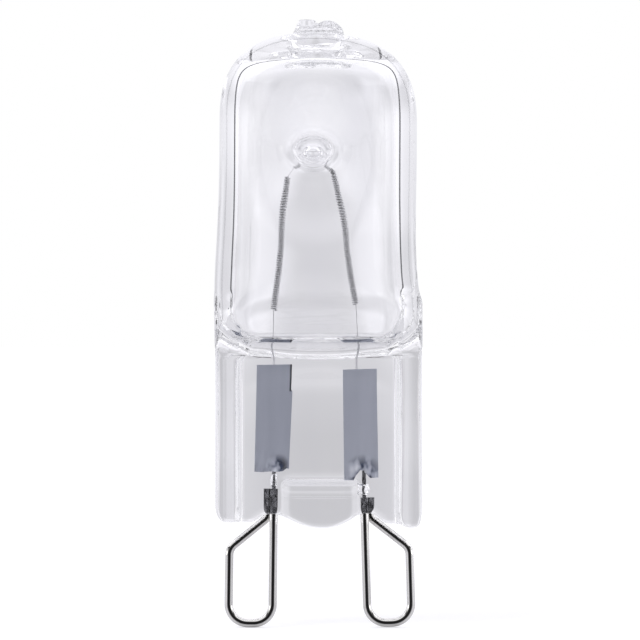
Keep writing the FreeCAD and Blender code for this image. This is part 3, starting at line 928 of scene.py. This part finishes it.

# %% [markdown]
# ## Foil and lead metal
#
# Molybdenum foil is thinner than paper. Round the weld, where it is crumpled, its shade and glints are
# painted in as near black, dark blue and light flecks, and the fold of the left foil is painted dark as
# shade. How strong that painted shade is at each point is stored in the mesh, and the material mixes by
# it. The inner leads are straight wires that keep their CAD shape, so they only get a finish.

# %% Molybdenum
molybdenum, tree, shader = new_material("sealing foil")
rolled = stretched_noise(tree, scale=500.0, stretch=(1.0, 1.0, 0.1), detail=3.0)
sheet_tone = ramp(tree, rolled, ((0.3, (0.34, 0.36, 0.42)), (0.7, (0.43, 0.45, 0.52))))
crumple_shade_noise = stretched_noise(tree, scale=1100.0, stretch=(1.0, 1.0, 0.7), detail=2.0)
# Painted shade and glints of the crumpled foil: near black, dark blue and light flecks.
painted_crumple_shade = ramp(tree, crumple_shade_noise, (
    (0.36, (0.01, 0.01, 0.015)),
    (0.5, (0.03, 0.045, 0.09)),
    (0.56, (0.4, 0.42, 0.5)),
    (0.72, (0.75, 0.77, 0.82)),
))
crumple_shade = tree.nodes.new("ShaderNodeAttribute")
crumple_shade.attribute_name = "crumple_shade"
sheet = mixed(tree, crumple_shade.outputs["Fac"], sheet_tone, painted_crumple_shade)
# Painted shade on the fold of the left foil: there the colour goes nearly black.
fold_shade_node = tree.nodes.new("ShaderNodeAttribute")
fold_shade_node.attribute_name = "fold"
sheet_with_fold_shade = mixed(tree, fold_shade_node.outputs["Fac"], sheet, (0.02, 0.02, 0.025, 1.0))
dress(tree, shader, {
    "Base Color": sheet_with_fold_shade,
    "Roughness": spread(tree, rolled, 0.3, 0.45),
    "Metallic": 1.0,
})

lead_metal, tree, shader = new_material("lead wire")
grain = stretched_noise(tree, scale=2500.0, stretch=(1.0, 1.0, 0.2), detail=3.0)
lead_tone = ramp(tree, grain, ((0.3, (0.6, 0.6, 0.62)), (0.7, (0.8, 0.8, 0.82))))
dress(tree, shader, {
    "Base Color": lead_tone,
    "Roughness": spread(tree, grain, 0.25, 0.45),
    "Metallic": 1.0,
})

for node in ("left_inner_lead", "right_inner_lead"):
    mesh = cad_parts[node].data
    mesh.materials.clear()
    mesh.materials.append(lead_metal)
    print(node, "has the finish", mesh.materials[0].name)

# %% [markdown]
# ## Foils
#
# Each foil is a sheet between a top edge and a torn lower edge. It is nearly flat, but the weld pulled
# it into creases at its foot, so the height of the creases fades with the distance from the lower edge.
# The left one is also folded over at its upper right. A cloth simulation would crumple it, but couldn't
# be told where.

# %% Foils
FOIL_Y = -0.16
FOIL_HALF = 0.02
FOIL_COLUMNS = 48
FOIL_ROWS = 96
SOFT_CREASE = 0.012
TIGHT_CREASE = 0.1
CREASE_FADE = 0.09
FOLD_LOW = 0.74
FOLD_SIDE = 0.93
FOLD_WIDTH = 0.07
FOLD_RISE = 0.02
FOLD_IN = 0.1
FOLD_FORWARD = 0.16
FOLD_SHADE_SIDE = 0.9
FOLD_SHADE_WIDTH = 0.03
FOLD_SHADE_RISE = 0.01
CRUMPLE_SHADE_GAIN = 1.6
SHARP_ANGLE = math.radians(40)


def creases(across, up, seed):
    soft = SOFT_CREASE * np.sin(5.0 * across + seed) * np.sin(3.0 * up + 2.0 * seed)
    tight = np.sin(17.0 * across + 9.0 * up + seed) * np.cos(23.0 * up - 11.0 * across + 1.7 * seed)
    near_foot = np.exp(-up / CREASE_FADE)
    return soft + TIGHT_CREASE * near_foot * tight


def fade_in(value, start, length):
    return np.clip((value - start) / length, 0, 1)


def sheet_faces(columns, rows):
    """Quads of a front and a back sheet and of the rim between them."""
    count = columns * rows
    number = np.arange(count).reshape(columns, rows)
    around = (number[:-1, :-1], number[1:, :-1], number[1:, 1:], number[:-1, 1:])
    sheet = np.stack(around, axis=-1).reshape(-1, 4)
    rim = np.concatenate((number[:, 0], number[-1, 1:], number[-2::-1, -1], number[0, -2:0:-1]))
    ahead = np.roll(rim, -1)
    edge = np.stack((rim, rim + count, ahead + count, ahead), axis=-1)
    return np.concatenate((sheet, sheet[:, ::-1] + count, edge))


def foil(name, node, left_edge, right_edge, torn_edge, seed, fold, weld):
    """One foil; an edge is its x at the foot, its x at the top and the height of its top."""
    shares = (np.linspace(0, 1, FOIL_COLUMNS), np.linspace(0, 1, FOIL_ROWS))
    across, up = np.meshgrid(*shares, indexing="ij")
    left = left_edge[0] + (left_edge[1] - left_edge[0]) * up
    right = right_edge[0] + (right_edge[1] - right_edge[0]) * up
    x = left + (right - left) * across
    low = np.interp(x, *zip(*torn_edge))
    high = left_edge[2] + (right_edge[2] - left_edge[2]) * across
    z = low + (high - low) * up
    folded = fade_in(across, FOLD_SIDE, FOLD_WIDTH) * fade_in(up, FOLD_LOW, FOLD_RISE) * fold
    x = x - FOLD_IN * folded
    y = FOIL_Y + creases(across, up, seed) - FOLD_FORWARD * folded
    front = np.stack((x, y - FOIL_HALF, z), axis=-1).reshape(-1, 3)
    back = np.stack((x, y + FOIL_HALF, z), axis=-1).reshape(-1, 3)
    mesh = bpy.data.meshes.new(name)
    faces = sheet_faces(FOIL_COLUMNS, FOIL_ROWS)
    mesh.from_pydata((np.concatenate((front, back)) * MM).tolist(), [], faces.tolist())
    weld_x, weld_z, weld_reach = weld
    # Painted shade round the weld, where the foil is crumpled: strongest at the weld, fading with distance.
    from_weld = np.hypot(x - weld_x, z - weld_z)
    crumple_shade_amount = np.clip(CRUMPLE_SHADE_GAIN - CRUMPLE_SHADE_GAIN * from_weld / weld_reach, 0, 1)
    # Painted shade on the fold, stored in the mesh as the fold attribute.
    dark = fade_in(across, FOLD_SHADE_SIDE, FOLD_SHADE_WIDTH) * fade_in(up, FOLD_LOW, FOLD_SHADE_RISE) * fold
    for label, amount in (("crumple_shade", crumple_shade_amount), ("fold", dark)):
        layer = mesh.attributes.new(label, "FLOAT", "POINT")
        layer.data.foreach_set("value", np.tile(amount.ravel(), 2).astype(np.float32))
    mesh.shade_smooth()
    mesh.set_sharp_from_angle(angle=SHARP_ANGLE)
    mesh.materials.append(molybdenum)
    piece = add_object(name, mesh)
    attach(piece, "root")
    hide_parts(node)
    return piece


LEFT_TORN_EDGE = (
    (-4.4, 3.36), (-3.9, 3.33), (-3.35, 3.38), (-2.8, 3.35), (-2.46, 3.4), (-2.19, 3.6), (-2.05, 3.55),
)
RIGHT_TORN_EDGE = (
    (1.72, 2.6), (2.4, 2.65), (2.5, 3.1), (2.84, 3.5), (3.18, 3.25), (3.5, 2.93), (4.05, 2.97),
)
left_foil = foil(
    "left_foil_sheet", "left_foil", (-4.4, -4.22, 10.64), (-2.05, -1.72, 10.68), LEFT_TORN_EDGE,
    seed=0.4, fold=1.0, weld=(-2.75, 3.8, 0.8),
)
right_foil = foil(
    "right_foil_sheet", "right_foil", (1.72, 1.62, 10.33), (4.05, 3.92, 10.38), RIGHT_TORN_EDGE,
    seed=2.1, fold=0.0, weld=(3.0, 3.3, 1.3),
)
print("foil faces:", len(left_foil.data.polygons), len(right_foil.data.polygons))


# %% [markdown]
# ## Floor
#
# The lamp stands on pale paper. Lit paper alone would come out grey beside the white background, so it
# also glows a little, but only for the camera: the glass and the wires see plain paper.

# %% Floor
FLOOR = -7.3
FLOOR_REACH = 3000.0
FLOOR_NEAR = 60.0
FLOOR_FAR = 250.0
WHITE = (1.0, 1.0, 1.0, 1.0)


def panel(name, corner, along, up):
    """Flat face from a corner along two edges, in millimetres."""
    corner, along, up = np.array(corner), np.array(along), np.array(up)
    points = np.array((corner, corner + along, corner + along + up, corner + up)) * MM
    mesh = bpy.data.meshes.new(name)
    mesh.from_pydata(points.tolist(), [], [(0, 1, 2, 3)])
    return add_object(name, mesh)


floor = panel("floor", (-FLOOR_REACH, -FLOOR_REACH, FLOOR), (2 * FLOOR_REACH, 0, 0), (0, 2 * FLOOR_REACH, 0))
paper, tree, shader = new_material("paper floor")
place = tree.nodes.new("ShaderNodeTexCoord")
away = tree.nodes.new("ShaderNodeVectorMath")
away.operation = "LENGTH"
tree.links.new(place.outputs["Object"], away.inputs[0])
distance = spread(tree, away.outputs["Value"], 0.0, 1.0, FLOOR_NEAR * MM, FLOOR_FAR * MM)
paper_tone = ramp(tree, distance, ((0.0, (0.66, 0.66, 0.68)), (1.0, (0.59, 0.59, 0.61))))
seen = tree.nodes.new("ShaderNodeLightPath").outputs["Is Camera Ray"]
lift = worked_out(tree, "MULTIPLY", seen, spread(tree, distance, 0.38, 0.56))
dress(tree, shader, {
    "Base Color": paper_tone,
    "Roughness": 0.9,
    "Specular IOR Level": 0.0,
    "Emission Color": WHITE,
    "Emission Strength": lift,
})
floor.data.materials.append(paper)
print("floor at z", FLOOR, "mm")

# %% [markdown]
# ## Dark hoop
#
# Glass is drawn by its edges. A narrow dark hoop stands behind the lamp, wide enough to stay out of the
# picture: only the light that the inner walls bend far aside comes from it, so they show as thin lines.

# %% Dark hoop
HOOP_BACK = 51.0
HOOP_MIDDLE = 20.0
HOOP_INNER = 58.0
HOOP_OUTER = 65.0
HOOP_PARTS = 66
HOOP_START = -9.0
HOOP_SWEEP = 198.0
hoop_points = []
hoop_faces = []
for k in range(HOOP_PARTS + 1):
    turn_to = math.radians(HOOP_START + HOOP_SWEEP * k / HOOP_PARTS)
    for radius in (HOOP_INNER, HOOP_OUTER):
        height = HOOP_MIDDLE + radius * math.sin(turn_to)
        hoop_points.append((radius * math.cos(turn_to) * MM, HOOP_BACK * MM, height * MM))
    if k < HOOP_PARTS:
        hoop_faces.append((2 * k, 2 * k + 1, 2 * k + 3, 2 * k + 2))
hoop_mesh = bpy.data.meshes.new("hoop")
hoop_mesh.from_pydata(hoop_points, [], hoop_faces)
hoop = add_object("hoop", hoop_mesh)
felt, tree, shader = new_material("black felt")
fuzz = stretched_noise(tree, scale=800.0, stretch=(1.0, 1.0, 1.0), detail=3.0)
felt_tone = ramp(tree, fuzz, ((0.3, (0.03, 0.03, 0.035)), (0.7, (0.06, 0.06, 0.065))))
dress(tree, shader, {"Base Color": felt_tone, "Roughness": 0.95})
hoop_mesh.materials.append(felt)
hoop.visible_camera = False
hoop.visible_diffuse = False
hoop.visible_shadow = False
print("hoop faces:", len(hoop_faces))

# %% [markdown]
# ## Soft boxes
#
# Two tall soft boxes stand left and right of the lamp. The wires mirror them, and the glass adds a faint
# image and a few fine highlights. They shine most low down and fade towards their top and their upright
# edges, because a box with hard edges would draw bright arches in the glass.

# %% Soft boxes
BOX_AWAY = 200.0
BOX_TOP = 130.0
BOX_OFF_FLOOR = 0.2
BOX_STRENGTH = 2.2
BLACK = (0.0, 0.0, 0.0, 1.0)
BOX_UPWARD = ((0.0, 0.3), (0.1, 1.0), (0.28, 1.0), (0.42, 0.5), (0.8, 0.0))


def soft_box(name, bearing, half_width, glow_stops):
    """Upright panel that faces the lamp; bearing is in degrees from straight behind the lamp."""
    turn_to = math.radians(bearing)
    low = FLOOR + BOX_OFF_FLOOR
    foot_middle = np.array((math.sin(turn_to) * BOX_AWAY, math.cos(turn_to) * BOX_AWAY, low))
    along = np.array((math.cos(turn_to), -math.sin(turn_to), 0.0)) * half_width
    box = panel(name, foot_middle - along, 2 * along, (0, 0, BOX_TOP - low))
    layer = box.data.uv_layers.new(name="across")
    for loop, place in zip(layer.data, ((0, 0), (1, 0), (1, 1), (0, 1))):
        loop.uv = place
    material, tree, shader = new_material(name)
    parts = coordinates(tree, "UV")
    across = ramp(tree, parts["X"], glow_stops)
    across.node.color_ramp.interpolation = "EASE"
    upward = ramp(tree, parts["Y"], BOX_UPWARD)
    dress(tree, shader, {
        "Base Color": BLACK,
        "Emission Color": mixed(tree, 1.0, across, upward, "MULTIPLY"),
        "Emission Strength": BOX_STRENGTH,
    })
    box.data.materials.append(material)
    box.visible_camera = False
    box.visible_diffuse = False
    box.visible_shadow = False
    box.visible_transmission = False
    print(name, "stands at", bearing, "degrees")


soft_box("left_soft_box", -108.0, 130.0, ((0.0, 0.0), (0.55, 1.0), (0.8, 1.0), (1.0, 0.0)))
soft_box("right_soft_box", 114.0, 110.0, ((0.0, 0.0), (0.2, 1.0), (0.45, 1.0), (0.95, 0.0)))

# %% [markdown]
# ## Backdrop
#
# Clear glass shows what is behind it, bent aside: the middle of the bulb looks straight back and its
# sides look far outwards. So a sheet close behind the lamp, which the camera itself doesn't see, tones
# the glass. Its tone by height gives the grey body and the paler crown, a soft band on each side gives
# the white bands down the bulb, and low down it gets lighter outwards for the rails and shoulders.
# Lamps could do this only with many trials, since each would also light everything else.

# %% Backdrop
BACKDROP_AWAY = 60.0
BACKDROP_HALF = 420.0
BACKDROP_TOP = 320.0
BACKDROP_TINT = np.array((1.0, 0.995, 1.045))
BACKDROP_TONES = (
    (-7.0, 0.57), (4.0, 0.57), (12.0, 0.69), (21.5, 0.665), (24.0, 0.72),
    (26.5, 0.81), (30.0, 0.85), (40.0, 0.95), (80.0, 1.1), (320.0, 1.4),
)
WING_START = 20.0
WING_END = 220.0
WING_GAIN = 1.7
LOW_START = 6.0
LOW_END = 14.0
LOW_ACROSS = ((1.0, 0.0), (10.0, 0.25), (30.0, 0.4), (80.0, 0.7))
BAND_LIFT = 0.33
BAND_ACROSS = ((0.0, 0.0), (2.5, 0.0), (8.0, 1.0), (13.0, 1.0), (24.0, 0.0))
BAND_UP = ((9.0, 0.0), (13.0, 1.0), (22.0, 1.0), (28.0, 0.0))
backdrop_corner = (-BACKDROP_HALF, BACKDROP_AWAY, FLOOR)
backdrop = panel("backdrop", backdrop_corner, (2 * BACKDROP_HALF, 0, 0), (0, 0, BACKDROP_TOP - FLOOR))
sweep, tree, shader = new_material("paper backdrop")
parts = coordinates(tree, "Object")
aside = worked_out(tree, "ABSOLUTE", parts["X"])


def stops_along(source, stops, low, high):
    """Ramp along one axis of the backdrop between two places in millimetres."""
    along = spread(tree, source, 0.0, 1.0, low * MM, high * MM)
    return ramp(tree, along, [((at - low) / (high - low), colour) for at, colour in stops])


def band_level(source, stops):
    """Soft level along one axis of the backdrop, from its first stop to its last."""
    level = stops_along(source, stops, stops[0][0], stops[-1][0])
    level.node.color_ramp.interpolation = "EASE"
    return level


tones = [(z, BACKDROP_TINT * level) for z, level in BACKDROP_TONES]
backdrop_tone = stops_along(parts["Z"], tones, FLOOR, BACKDROP_TOP)
wing = spread(tree, aside, 1.0, WING_GAIN, WING_START * MM, WING_END * MM)
wing.node.interpolation_type = "SMOOTHSTEP"
low_down = spread(tree, parts["Z"], 1.0, 0.0, LOW_START * MM, LOW_END * MM)
lift = worked_out(tree, "MULTIPLY_ADD", band_level(aside, LOW_ACROSS), low_down, wing)
band = worked_out(tree, "MULTIPLY", band_level(aside, BAND_ACROSS), band_level(parts["Z"], BAND_UP))
glow = worked_out(tree, "MULTIPLY_ADD", band, BAND_LIFT, lift)
dress(tree, shader, {
    "Base Color": BLACK,
    "Specular IOR Level": 0.0,
    "Emission Color": backdrop_tone,
    "Emission Strength": glow,
})
backdrop.data.materials.append(sweep)
backdrop.visible_camera = False
backdrop.visible_diffuse = False
backdrop.visible_shadow = False
print("backdrop nodes:", len(tree.nodes))

# %% [markdown]
# ## World
#
# The rest of the room is a pale studio that greys down to the horizon and stays so below it, with a
# slightly different tint behind the lamp and behind the camera. The camera sees it as plain white, so
# the background stays white whatever the glass needs.

# %% World
world = bpy.data.worlds.new("studio")
bpy.context.scene.world = world
world.use_nodes = True
tree = world.node_tree
background = tree.nodes["Background"]
parts = coordinates(tree, "Generated")
turn = worked_out(tree, "ARCCOSINE", parts["Y"])
from_back = spread(tree, turn, 0.0, 1.0, 0.0, math.pi)
surround = ramp(tree, from_back, ((0.0, (1.0, 0.99, 1.03)), (1.0, (1.0, 1.0, 1.02))))
studio = ramp(tree, parts["Z"], (
    (0.0, (0.67, 0.67, 0.68)),
    (0.05, (0.78, 0.78, 0.79)),
    (0.14, (0.88, 0.88, 0.89)),
    (0.5, 1.0),
))
room = mixed(tree, 1.0, studio, surround, "MULTIPLY")
seen = tree.nodes.new("ShaderNodeLightPath").outputs["Is Camera Ray"]
tree.links.new(mixed(tree, seen, room, WHITE), background.inputs["Color"])
print("world nodes:", len(tree.nodes))

# %% [markdown]
# ## Key lamp
#
# One soft lamp from the upper left in front shapes the wires and the floor. Its image would be a hard
# white square on the glass, so reflections and glass don't show it.

# %% Key lamp
KEY_PLACE = np.array((-250.0, -300.0, 300.0))
KEY_AIM = np.array((0.0, 0.0, 15.0))
KEY_SIZE = 200.0
KEY_POWER = 0.6
key_light = bpy.data.lights.new("key", "AREA")
key_light.size = KEY_SIZE * MM
key_light.energy = KEY_POWER
key = add_object("key", key_light)
key.location = KEY_PLACE * MM
key.rotation_euler = Vector(KEY_AIM - KEY_PLACE).to_track_quat("-Z", "Y").to_euler()
key.visible_glossy = False
key.visible_transmission = False
print("key lamp", round(float(np.linalg.norm(KEY_AIM - KEY_PLACE))), "mm from the bulb")

# %% [markdown]
# ## Camera
#
# A long lens straight from the front, far enough away that the lamp shows hardly any perspective. Glass
# within glass needs many bounces, or its middle would turn black.

# %% Camera
DISTANCE = 300.0
VIEW_WIDTH = 43.7
AIM_X = 0.07
AIM_Z = 13.7
SENSOR = 36.0
BOUNCES = 32
MIRROR_BOUNCES = 24
scene = bpy.context.scene
scene.view_settings.view_transform = "Standard"
scene.cycles.max_bounces = BOUNCES
scene.cycles.glossy_bounces = MIRROR_BOUNCES
scene.cycles.transmission_bounces = BOUNCES
camera_data = bpy.data.cameras.new("camera")
camera_data.sensor_width = SENSOR
camera_data.lens = SENSOR * DISTANCE / VIEW_WIDTH
camera = add_object("camera", camera_data)
camera.location = (AIM_X * MM, -DISTANCE * MM, AIM_Z * MM)
camera.rotation_euler = (math.pi / 2, 0.0, 0.0)
scene.camera = camera
print("lens of", round(camera_data.lens), "mm")
